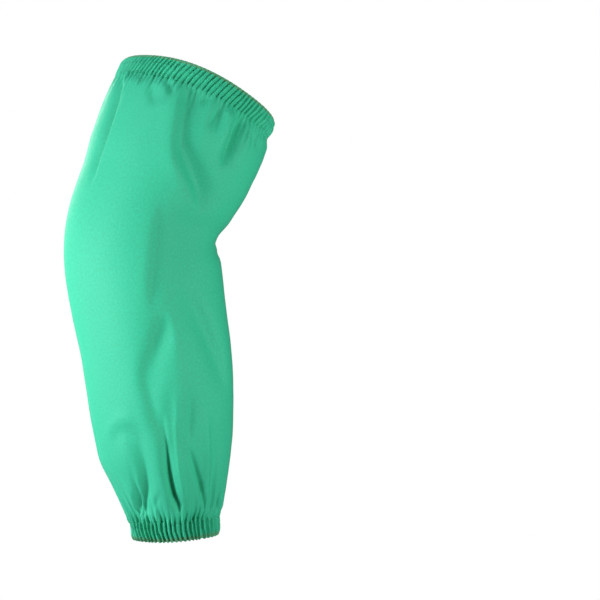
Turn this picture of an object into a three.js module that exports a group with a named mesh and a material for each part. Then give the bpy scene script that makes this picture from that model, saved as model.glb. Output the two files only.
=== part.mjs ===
// A welder's sleeve for one arm: a cotton tube with an elastic cuff gathered at each end.
// It stands as it does on a bent arm, with the elbow's outside towards -X and the pressed crease towards -Y.
// Units are millimetres and degrees, +Z is up, and the origin is the middle of the opening that the arm goes into.

import * as THREE from "three";

// Driving dimensions
const SLEEVE_LENGTH = 457; // rim to rim along the centreline, an 18 inch sleeve
const BODY_WIDTH = 169; // across the front at the widest place
const BODY_DEPTH = 124; // front to back at the same place
const ARM_OPENING_WIDTH = 167;
const ARM_OPENING_DEPTH = 122;
const ARM_CUFF_HEIGHT = 18;
const ARM_CUFF_WALL = 4.2; // folded cloth with elastic between
const WRIST_OPENING_WIDTH = 86;
const WRIST_OPENING_DEPTH = 58;
const WRIST_CUFF_HEIGHT = 20;
const WRIST_CUFF_WALL = 4;
const CLOTH_WALL = 1.2;
const STITCH_GAP = 0.3; // between a cuff and the cloth that it gathers
const ARM_LEAN = 21.5; // of the upper arm from upright
const ELBOW_BEND = 30.5; // between the upper arm and the forearm
const ARM_TILT = 15; // the upper rim stands higher in front by this angle
const CORNER_EASE = 0.06; // how far a section's four corners lie inside its oval

// Gathers: pleats round each cuff, and the wider puckers that they leave in the cloth beside it
const ARM_GATHERS = 94;
const WRIST_GATHERS = 50;
const GATHER_HEIGHT = 1.1;
const STITCH_HOLD = 7; // the folds begin about this far from the stitches
const ARM_PUCKER_HEIGHT = 1;
const ARM_PUCKER_REACH = 24;
const WRIST_PUCKER_HEIGHT = 1.2;
const WRIST_PUCKER_REACH = 40;

// Mesh density
const BODY_COLUMNS = 64;
const BODY_ROWS = 27;
const COLUMNS_PER_GATHER = 2;
const CENTRELINE_STEPS = 400;

// The three stretches of the centreline, from the upper rim down to the wrist rim
const BODY_LENGTH = SLEEVE_LENGTH - ARM_CUFF_HEIGHT - WRIST_CUFF_HEIGHT;
const STRETCHES = {
  armCuff: { start: 0, length: ARM_CUFF_HEIGHT },
  body: { start: ARM_CUFF_HEIGHT, length: BODY_LENGTH },
  wristCuff: { start: ARM_CUFF_HEIGHT + BODY_LENGTH, length: WRIST_CUFF_HEIGHT },
};
const ARM = { width: ARM_OPENING_WIDTH, depth: ARM_OPENING_DEPTH };
const BODY = { width: BODY_WIDTH, depth: BODY_DEPTH };
const WRIST = { width: WRIST_OPENING_WIDTH, depth: WRIST_OPENING_DEPTH };

// Sections square to the centreline. at is a share of the stretch, bend a share of ELBOW_BEND and tilt of ARM_TILT.
// outer, inner, front and back are the four reaches from the centreline, as shares of half the size named in of.
const SECTIONS = [
  { on: "armCuff", at: 0, of: ARM, bend: 0, tilt: 1, outer: 0.97, inner: 0.99, front: 1, back: 1 },
  { on: "armCuff", at: 0.45, of: ARM, bend: 0, tilt: 1, outer: 1, inner: 1, front: 1, back: 1 },
  { on: "body", at: 0, of: ARM, bend: 0, tilt: 0.92, outer: 0.97, inner: 0.965, front: 0.96, back: 0.96 },
  { on: "body", at: 0.025, of: BODY, bend: 0, tilt: 0.85, outer: 0.98, inner: 1, front: 0.99, back: 0.98 },
  { on: "body", at: 0.066, of: BODY, bend: 0, tilt: 0.7, outer: 0.99, inner: 1.01, front: 1, back: 1 },
  { on: "body", at: 0.142, of: BODY, bend: 0, tilt: 0.54, outer: 0.98, inner: 0.99, front: 1, back: 1 },
  { on: "body", at: 0.219, of: BODY, bend: 0.02, tilt: 0.38, outer: 0.94, inner: 0.925, front: 0.98, back: 1 },
  { on: "body", at: 0.284, of: BODY, bend: 0.18, tilt: 0.23, outer: 0.945, inner: 0.84, front: 0.96, back: 0.98 },
  { on: "body", at: 0.35, of: BODY, bend: 0.61, tilt: 0.08, outer: 0.95, inner: 0.86, front: 0.95, back: 0.96 },
  { on: "body", at: 0.415, of: BODY, bend: 0.9, tilt: 0, outer: 0.94, inner: 0.9, front: 0.94, back: 0.95 },
  { on: "body", at: 0.502, of: BODY, bend: 1, tilt: 0, outer: 0.915, inner: 0.89, front: 0.93, back: 0.94 },
  { on: "body", at: 0.611, of: BODY, bend: 0.97, tilt: 0, outer: 0.885, inner: 0.88, front: 0.91, back: 0.92 },
  { on: "body", at: 0.72, of: BODY, bend: 0.93, tilt: 0, outer: 0.875, inner: 0.84, front: 0.88, back: 0.88 },
  { on: "body", at: 0.83, of: BODY, bend: 0.9, tilt: 0, outer: 0.835, inner: 0.76, front: 0.8, back: 0.8 },
  { on: "body", at: 0.917, of: BODY, bend: 0.87, tilt: 0, outer: 0.69, inner: 0.67, front: 0.66, back: 0.66 },
  { on: "body", at: 0.977, of: WRIST, bend: 0.84, tilt: 0, outer: 1.12, inner: 1.14, front: 1.12, back: 1.12 },
  { on: "wristCuff", at: 0, of: WRIST, bend: 0.82, tilt: 0, outer: 1.02, inner: 1.01, front: 1.02, back: 1.02 },
  { on: "wristCuff", at: 0.5, of: WRIST, bend: 0.8, tilt: 0, outer: 0.99, inner: 1.01, front: 1.02, back: 1.02 },
  { on: "wristCuff", at: 1, of: WRIST, bend: 0.8, tilt: 0, outer: 0.98, inner: 0.98, front: 0.98, back: 0.98 },
];

// Folds in the body's cloth. along is a share of BODY_LENGTH from the upper cuff, and around a share of a turn:
// 0 is outside the elbow, 0.25 the front, 0.5 inside the elbow and 0.75 the back. A fold runs from its start through
// its middle to its end. width is a share of BODY_WIDTH, and the two heights of BODY_DEPTH, with a dent below 0.
const FOLDS = [
  // front, upper arm
  { start: [0, 0.255], middle: [0.06, 0.262], end: [0.14, 0.28], width: 0.045, startHeight: -0.03, endHeight: -0.03 },
  { start: [0.13, 0.282], middle: [0.18, 0.315], end: [0.25, 0.375], width: 0.07, startHeight: -0.035, endHeight: -0.04 },
  { start: [0, 0.232], middle: [0.06, 0.235], end: [0.13, 0.246], width: 0.03, startHeight: 0.015, endHeight: 0.01 },
  { start: [0.03, 0.2], middle: [0.08, 0.205], end: [0.13, 0.225], width: 0.07, startHeight: -0.03, endHeight: -0.02 },
  { start: [0.1, 0.155], middle: [0.13, 0.17], end: [0.16, 0.2], width: 0.05, startHeight: -0.01, endHeight: -0.015 },
  { start: [0, 0.318], middle: [0.03, 0.32], end: [0.07, 0.328], width: 0.03, startHeight: -0.02, endHeight: -0.01 },
  { start: [0, 0.358], middle: [0.05, 0.362], end: [0.125, 0.378], width: 0.04, startHeight: -0.03, endHeight: -0.025 },
  { start: [0, 0.392], middle: [0.03, 0.398], end: [0.07, 0.405], width: 0.03, startHeight: -0.02, endHeight: -0.01 },
  { start: [0, 0.425], middle: [0.03, 0.44], end: [0.06, 0.45], width: 0.035, startHeight: -0.025, endHeight: -0.015 },
  // front, elbow
  { start: [0.33, 0.471], middle: [0.38, 0.415], end: [0.43, 0.36], width: 0.06, startHeight: -0.03, endHeight: -0.01 },
  { start: [0.12, 0.34], middle: [0.2, 0.4], end: [0.29, 0.44], width: 0.05, startHeight: 0, endHeight: 0.015 },
  // front, forearm
  { start: [0.6, 0.228], middle: [0.67, 0.222], end: [0.75, 0.24], width: 0.05, startHeight: -0.02, endHeight: -0.025 },
  { start: [0.75, 0.25], middle: [0.88, 0.277], end: [0.99, 0.302], width: 0.04, startHeight: -0.02, endHeight: -0.055 },
  { start: [0.57, 0.29], middle: [0.72, 0.288], end: [0.98, 0.31], width: 0.035, startHeight: 0.02, endHeight: 0.02 },
  { start: [0.54, 0.345], middle: [0.66, 0.37], end: [0.84, 0.322], width: 0.055, startHeight: -0.015, endHeight: -0.02 },
  { start: [0.8, 0.338], middle: [0.9, 0.352], end: [0.98, 0.378], width: 0.03, startHeight: -0.01, endHeight: -0.04 },
  { start: [0.85, 0.418], middle: [0.91, 0.402], end: [0.98, 0.4], width: 0.03, startHeight: -0.01, endHeight: -0.03 },
  { start: [0.81, 0.13], middle: [0.76, 0.165], end: [0.82, 0.195], width: 0.05, startHeight: -0.01, endHeight: -0.01 },
  { start: [0.81, 0.15], middle: [0.91, 0.165], end: [0.99, 0.155], width: 0.05, startHeight: -0.015, endHeight: -0.05 },
  { start: [0.93, 0.212], middle: [0.95, 0.215], end: [0.98, 0.216], width: 0.04, startHeight: -0.01, endHeight: -0.03 },
  // back, upper arm
  { start: [0, 0.6], middle: [0.06, 0.605], end: [0.15, 0.63], width: 0.05, startHeight: -0.03, endHeight: -0.015 },
  { start: [0, 0.68], middle: [0.05, 0.675], end: [0.1, 0.665], width: 0.04, startHeight: -0.025, endHeight: -0.01 },
  { start: [0, 0.77], middle: [0.08, 0.76], end: [0.2, 0.74], width: 0.06, startHeight: -0.03, endHeight: -0.02 },
  { start: [0, 0.86], middle: [0.05, 0.855], end: [0.12, 0.84], width: 0.045, startHeight: -0.025, endHeight: -0.01 },
  // back, elbow
  { start: [0.31, 0.53], middle: [0.35, 0.59], end: [0.38, 0.66], width: 0.055, startHeight: -0.035, endHeight: -0.01 },
  { start: [0.37, 0.53], middle: [0.43, 0.58], end: [0.49, 0.63], width: 0.05, startHeight: -0.025, endHeight: -0.01 },
  // back, forearm
  { start: [0.7, 0.6], middle: [0.85, 0.61], end: [0.99, 0.62], width: 0.05, startHeight: -0.01, endHeight: -0.045 },
  { start: [0.6, 0.72], middle: [0.8, 0.7], end: [0.99, 0.7], width: 0.055, startHeight: -0.015, endHeight: -0.05 },
  { start: [0.78, 0.8], middle: [0.9, 0.79], end: [0.99, 0.78], width: 0.045, startHeight: -0.01, endHeight: -0.045 },
  { start: [0.82, 0.9], middle: [0.91, 0.885], end: [0.99, 0.87], width: 0.045, startHeight: -0.01, endHeight: -0.04 },
];

// Sharp ridges that pressing left, in the same measures
const CREASES = [
  { start: [0.24, 0.285], middle: [0.37, 0.279], end: [0.55, 0.247], width: 0.09, startHeight: 0.012, endHeight: 0.008 },
  { start: [0.01, 0.085], middle: [0.15, 0.098], end: [0.3, 0.1], width: 0.05, startHeight: 0.012, endHeight: 0.006 },
  { start: [0.7, 0.03], middle: [0.85, 0.065], end: [0.98, 0.08], width: 0.05, startHeight: 0.006, endHeight: 0.012 },
  { start: [0.3, 0.75], middle: [0.45, 0.755], end: [0.62, 0.75], width: 0.09, startHeight: 0.01, endHeight: 0.008 },
];
const FOLD_STEPS = 10;

// A cuff's wall in section, from its gathered edge up the outside, over the rim and down the inside.
// height is the share of the cuff's height from the stitches to the rim, and depth and pleat are shares of
// the wall and of GATHER_HEIGHT.
const CUFF_PROFILE = [
  { height: 0, depth: 0.12, pleat: 0.5 },
  { height: 0.22, depth: 0, pleat: 1 },
  { height: 0.45, depth: 0.14, pleat: 0.7 },
  { height: 0.7, depth: 0, pleat: 1 },
  { height: 0.98, depth: 0.22, pleat: 1 },
  { height: 1, depth: 0.8, pleat: 0.7 },
  { height: 0.5, depth: 1, pleat: 0.5 },
  { height: 0, depth: 0.9, pleat: 0.3 },
];

// The sections' rows as columns of numbers, each against the distance down the centreline
const stations = SECTIONS.map((row) => ({
  along: STRETCHES[row.on].start + row.at * STRETCHES[row.on].length,
  lean: (ARM_LEAN - row.bend * ELBOW_BEND) * THREE.MathUtils.DEG2RAD,
  tilt: row.tilt * ARM_TILT * THREE.MathUtils.DEG2RAD,
  outer: (row.outer * row.of.width) / 2,
  inner: (row.inner * row.of.width) / 2,
  front: (row.front * row.of.depth) / 2,
  back: (row.back * row.of.depth) / 2,
}));

// A smooth curve through one column of the stations, which never overshoots them
function valueAt(column, along) {
  const last = stations.length - 2;
  const next = stations.findIndex((station) => station.along > along);
  const i = Math.max(0, next < 0 ? last : next - 1);
  const rise = (k) =>
    (stations[k + 1][column] - stations[k][column]) / (stations[k + 1].along - stations[k].along);
  const slope = (k) => {
    if (k === 0) return rise(0);
    if (k > last) return rise(last);
    const [before, after] = [rise(k - 1), rise(k)];
    return before * after > 0 ? (2 * before * after) / (before + after) : 0;
  };
  const span = stations[i + 1].along - stations[i].along;
  const u = (along - stations[i].along) / span;
  return (
    (1 + 2 * u) * (1 - u) ** 2 * stations[i][column] +
    u * (1 - u) ** 2 * span * slope(i) +
    u ** 2 * (3 - 2 * u) * stations[i + 1][column] +
    u ** 2 * (u - 1) * span * slope(i + 1)
  );
}

// The centreline lies in the XZ plane and starts at the origin
const centreline = [new THREE.Vector3()];
for (let i = 1; i <= CENTRELINE_STEPS; i++) {
  const step = SLEEVE_LENGTH / CENTRELINE_STEPS;
  const lean = valueAt("lean", (i - 0.5) * step);
  const down = new THREE.Vector3(-Math.sin(lean), 0, -Math.cos(lean));
  centreline.push(centreline[i - 1].clone().addScaledVector(down, step));
}

function centreAt(along) {
  const place = (along / SLEEVE_LENGTH) * CENTRELINE_STEPS;
  const i = Math.min(CENTRELINE_STEPS - 1, Math.max(0, Math.floor(place)));
  return centreline[i].clone().lerp(centreline[i + 1], place - i);
}

// Where a fold's line runs, as points in millimetres along and around the cloth
const girth = (Math.PI * (BODY_WIDTH + BODY_DEPTH)) / 2;
function foldLine(fold) {
  const curve = new THREE.QuadraticBezierCurve(
    ...[fold.start, fold.middle, fold.end].map(
      ([along, around]) => new THREE.Vector2(along * BODY_LENGTH, around * girth),
    ),
  );
  return curve.getPoints(FOLD_STEPS);
}

// The nearest point of a fold's line: its distance, and its share of the way from start to end
function nearestOn(line, place) {
  let found = { distance: Infinity, share: 0 };
  for (let i = 0; i < line.length - 1; i++) {
    const run = line[i + 1].clone().sub(line[i]);
    const reach = THREE.MathUtils.clamp(place.clone().sub(line[i]).dot(run) / run.lengthSq(), 0, 1);
    const distance = place.distanceTo(line[i].clone().addScaledVector(run, reach));
    if (distance < found.distance) found = { distance, share: (i + reach) / (line.length - 1) };
  }
  return found;
}

// The stitches hold the folds flat at both ends of the body
const held = (distance) => 1 - Math.exp(-((distance / STITCH_HOLD) ** 2));
const softly = (distance, width) => Math.exp(-((distance / width) ** 2));
const sharply = (distance, width) => Math.exp(-distance / width);
const reliefs = [
  ...FOLDS.map((fold) => ({ ...fold, line: foldLine(fold), fade: softly })),
  ...CREASES.map((fold) => ({ ...fold, line: foldLine(fold), fade: sharply })),
];

// How far the folds and creases lift the cloth at a place of the body
function foldHeight(along, turn) {
  const place = new THREE.Vector2(along - ARM_CUFF_HEIGHT, turn * girth);
  const loose = held(place.x) * held(BODY_LENGTH - place.x);
  return reliefs.reduce((height, relief) => {
    const { distance, share } = nearestOn(relief.line, place);
    const top = THREE.MathUtils.lerp(relief.startHeight, relief.endHeight, share) * BODY_DEPTH;
    return height + loose * top * relief.fade(distance, relief.width * BODY_WIDTH);
  }, 0);
}

// Puckers stand on alternate columns and die away from each cuff
function puckerHeight(along, column) {
  const crest = column % 2 ? -1 : 1;
  const fromArm = along - ARM_CUFF_HEIGHT;
  const fromWrist = ARM_CUFF_HEIGHT + BODY_LENGTH - along;
  return (
    crest * ARM_PUCKER_HEIGHT * Math.exp(-fromArm / ARM_PUCKER_REACH) +
    crest * WRIST_PUCKER_HEIGHT * Math.exp(-fromWrist / WRIST_PUCKER_REACH)
  );
}

// A point of the sleeve, lifted off the plain oval tube by a height
function pointAt(along, turn, height) {
  const angle = turn * 2 * Math.PI;
  const [side, face] = [-Math.cos(angle), -Math.sin(angle)];
  const width = valueAt(side < 0 ? "outer" : "inner", along);
  const depth = valueAt(face < 0 ? "front" : "back", along);
  const ease = 1 - CORNER_EASE * Math.sin(2 * angle) ** 2;
  const outward = new THREE.Vector2(side / width, face / depth).normalize();
  const across = width * side * ease + outward.x * height;
  const away = depth * face * ease + outward.y * height;
  const lean = valueAt("lean", along);
  const tilt = valueAt("tilt", along);
  const down = new THREE.Vector3(-Math.sin(lean), 0, -Math.cos(lean));
  const acrossLine = new THREE.Vector3(Math.cos(lean), 0, -Math.sin(lean));
  return centreAt(along)
    .addScaledVector(acrossLine, across)
    .addScaledVector(new THREE.Vector3(0, 1, 0), away * Math.cos(tilt))
    .addScaledVector(down, away * Math.sin(tilt));
}

// A closed tube wall from its section: rings of points that follow one another round the wall
function wallGeometry(rings) {
  const columns = rings[0].length;
  const positions = rings.flat().flatMap((point) => point.toArray());
  const index = [];
  rings.forEach((_, r) => {
    const [here, next] = [r * columns, ((r + 1) % rings.length) * columns];
    for (let c = 0; c < columns; c++) {
      const beside = (c + 1) % columns;
      index.push(here + c, next + beside, here + beside);
      index.push(here + c, next + c, next + beside);
    }
  });
  const geometry = new THREE.BufferGeometry();
  geometry.setAttribute("position", new THREE.Float32BufferAttribute(positions, 3));
  geometry.setIndex(index);
  geometry.computeVertexNormals();
  return geometry;
}

function ring(columns, pointOfColumn) {
  return Array.from({ length: columns }, (_, column) => pointOfColumn(column, column / columns));
}

function sleeveBody() {
  const first = ARM_CUFF_HEIGHT + STITCH_GAP / 2;
  const run = BODY_LENGTH - STITCH_GAP;
  const skin = (row, inset) =>
    ring(BODY_COLUMNS, (column, turn) => {
      const along = first + (row / (BODY_ROWS - 1)) * run;
      return pointAt(along, turn, foldHeight(along, turn) + puckerHeight(along, column) - inset);
    });
  const outside = Array.from({ length: BODY_ROWS }, (_, row) => skin(row, 0));
  const inside = Array.from({ length: BODY_ROWS }, (_, row) => skin(BODY_ROWS - 1 - row, CLOTH_WALL));
  return wallGeometry([...outside, ...inside]);
}

function cuff({ stitches, rim, wall, gathers }) {
  const columns = gathers * COLUMNS_PER_GATHER;
  const rings = CUFF_PROFILE.map(({ height, depth, pleat }) =>
    ring(columns, (column, turn) => {
      const crest = column % COLUMNS_PER_GATHER ? -1 : 1;
      const along = THREE.MathUtils.lerp(stitches, rim, height);
      return pointAt(along, turn, crest * pleat * GATHER_HEIGHT - depth * wall);
    }),
  );
  return wallGeometry(rim < stitches ? rings.reverse() : rings);
}

const cotton = new THREE.MeshStandardMaterial({ color: 0x45b88c, roughness: 0.85, metalness: 0 });
const gatheredCotton = new THREE.MeshStandardMaterial({ color: 0x3fae84, roughness: 0.88, metalness: 0 });

const sleeve = new THREE.Group();
function add(name, geometry, material) {
  const mesh = new THREE.Mesh(geometry, material);
  mesh.name = name;
  sleeve.add(mesh);
}

add("sleeve_body", sleeveBody(), cotton);
add(
  "arm_cuff",
  cuff({
    stitches: ARM_CUFF_HEIGHT - STITCH_GAP / 2,
    rim: 0,
    wall: ARM_CUFF_WALL,
    gathers: ARM_GATHERS,
  }),
  gatheredCotton,
);
add(
  "wrist_cuff",
  cuff({
    stitches: ARM_CUFF_HEIGHT + BODY_LENGTH + STITCH_GAP / 2,
    rim: SLEEVE_LENGTH,
    wall: WRIST_CUFF_WALL,
    gathers: WRIST_GATHERS,
  }),
  gatheredCotton,
);

export default sleeve;
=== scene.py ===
"""A welder's sleeve for one arm: a bent tube of green cotton with a gathered elastic cuff at each end.

Lengths are millimetres until a piece is shaped, and metres in Blender. A place on the sleeve is written
as along, the distance down its centreline from the upper rim, and turn, the share of the way round it:
0 is outside the elbow, 0.25 the front, 0.5 inside the elbow and 0.75 the back.
"""
import math

import bpy
import numpy as np
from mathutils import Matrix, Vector


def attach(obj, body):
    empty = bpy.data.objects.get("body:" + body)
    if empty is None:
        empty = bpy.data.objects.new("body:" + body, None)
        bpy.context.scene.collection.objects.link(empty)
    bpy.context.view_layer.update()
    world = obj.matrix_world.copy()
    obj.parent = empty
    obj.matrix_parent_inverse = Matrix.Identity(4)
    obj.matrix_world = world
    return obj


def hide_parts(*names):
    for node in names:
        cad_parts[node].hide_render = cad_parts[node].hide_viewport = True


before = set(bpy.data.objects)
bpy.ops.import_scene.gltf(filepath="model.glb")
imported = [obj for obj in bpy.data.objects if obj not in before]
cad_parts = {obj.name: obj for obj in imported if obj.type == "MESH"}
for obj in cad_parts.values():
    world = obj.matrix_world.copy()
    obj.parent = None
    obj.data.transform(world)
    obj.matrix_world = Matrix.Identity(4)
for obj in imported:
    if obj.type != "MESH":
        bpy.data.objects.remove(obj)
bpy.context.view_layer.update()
METRES = 0.001

# The sleeve's form, as the solids have it
SLEEVE_LENGTH = 457
BODY = (169, 124)
ARM = (167, 122)
WRIST = (86, 58)
ARM_CUFF_HEIGHT = 18
WRIST_CUFF_HEIGHT = 20
BODY_LENGTH = SLEEVE_LENGTH - ARM_CUFF_HEIGHT - WRIST_CUFF_HEIGHT
WRIST_STITCHES = ARM_CUFF_HEIGHT + BODY_LENGTH
CLOTH_WALL = 1.2
ARM_LEAN = 21.5
ELBOW_BEND = 30.5
ARM_TILT = 15
CORNER_EASE = 0.06
GIRTH = math.pi * (BODY[0] + BODY[1]) / 2

# Each stretch of the centreline: where it starts, and how long it is
STRETCHES = {
    "arm cuff": (0, ARM_CUFF_HEIGHT),
    "body": (ARM_CUFF_HEIGHT, BODY_LENGTH),
    "wrist cuff": (WRIST_STITCHES, WRIST_CUFF_HEIGHT),
}
# stretch, share of it, size, bend, tilt, then the outer, inner, front and back reach
SECTIONS = [
    ("arm cuff", 0, ARM, 0, 1, 0.945, 0.985, 1, 1),
    ("arm cuff", 0.45, ARM, 0, 1, 0.965, 0.99, 1, 1),
    ("body", 0, ARM, 0, 0.92, 0.97, 0.965, 0.96, 0.96),
    ("body", 0.025, BODY, 0, 0.85, 0.98, 1, 0.99, 0.98),
    ("body", 0.066, BODY, 0, 0.7, 0.99, 1.01, 1, 1),
    ("body", 0.142, BODY, 0, 0.54, 0.98, 0.99, 1, 1),
    ("body", 0.219, BODY, 0.02, 0.38, 0.94, 0.925, 0.98, 1),
    ("body", 0.284, BODY, 0.18, 0.23, 0.945, 0.84, 0.96, 0.98),
    ("body", 0.35, BODY, 0.61, 0.08, 0.95, 0.86, 0.95, 0.96),
    ("body", 0.415, BODY, 0.9, 0, 0.94, 0.9, 0.94, 0.95),
    ("body", 0.502, BODY, 1, 0, 0.915, 0.89, 0.93, 0.94),
    ("body", 0.611, BODY, 0.97, 0, 0.885, 0.88, 0.91, 0.92),
    ("body", 0.72, BODY, 0.93, 0, 0.875, 0.84, 0.88, 0.88),
    ("body", 0.83, BODY, 0.9, 0, 0.835, 0.76, 0.8, 0.8),
    ("body", 0.917, BODY, 0.87, 0, 0.69, 0.67, 0.66, 0.66),
    ("body", 0.977, WRIST, 0.84, 0, 1.12, 1.14, 1.12, 1.12),
    ("wrist cuff", 0, WRIST, 0.82, 0, 1.02, 1.01, 1.02, 1.02),
    ("wrist cuff", 0.5, WRIST, 0.8, 0, 0.99, 1.01, 1.02, 1.02),
    ("wrist cuff", 1, WRIST, 0.8, 0, 0.98, 0.98, 0.98, 0.98),
]

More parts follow.
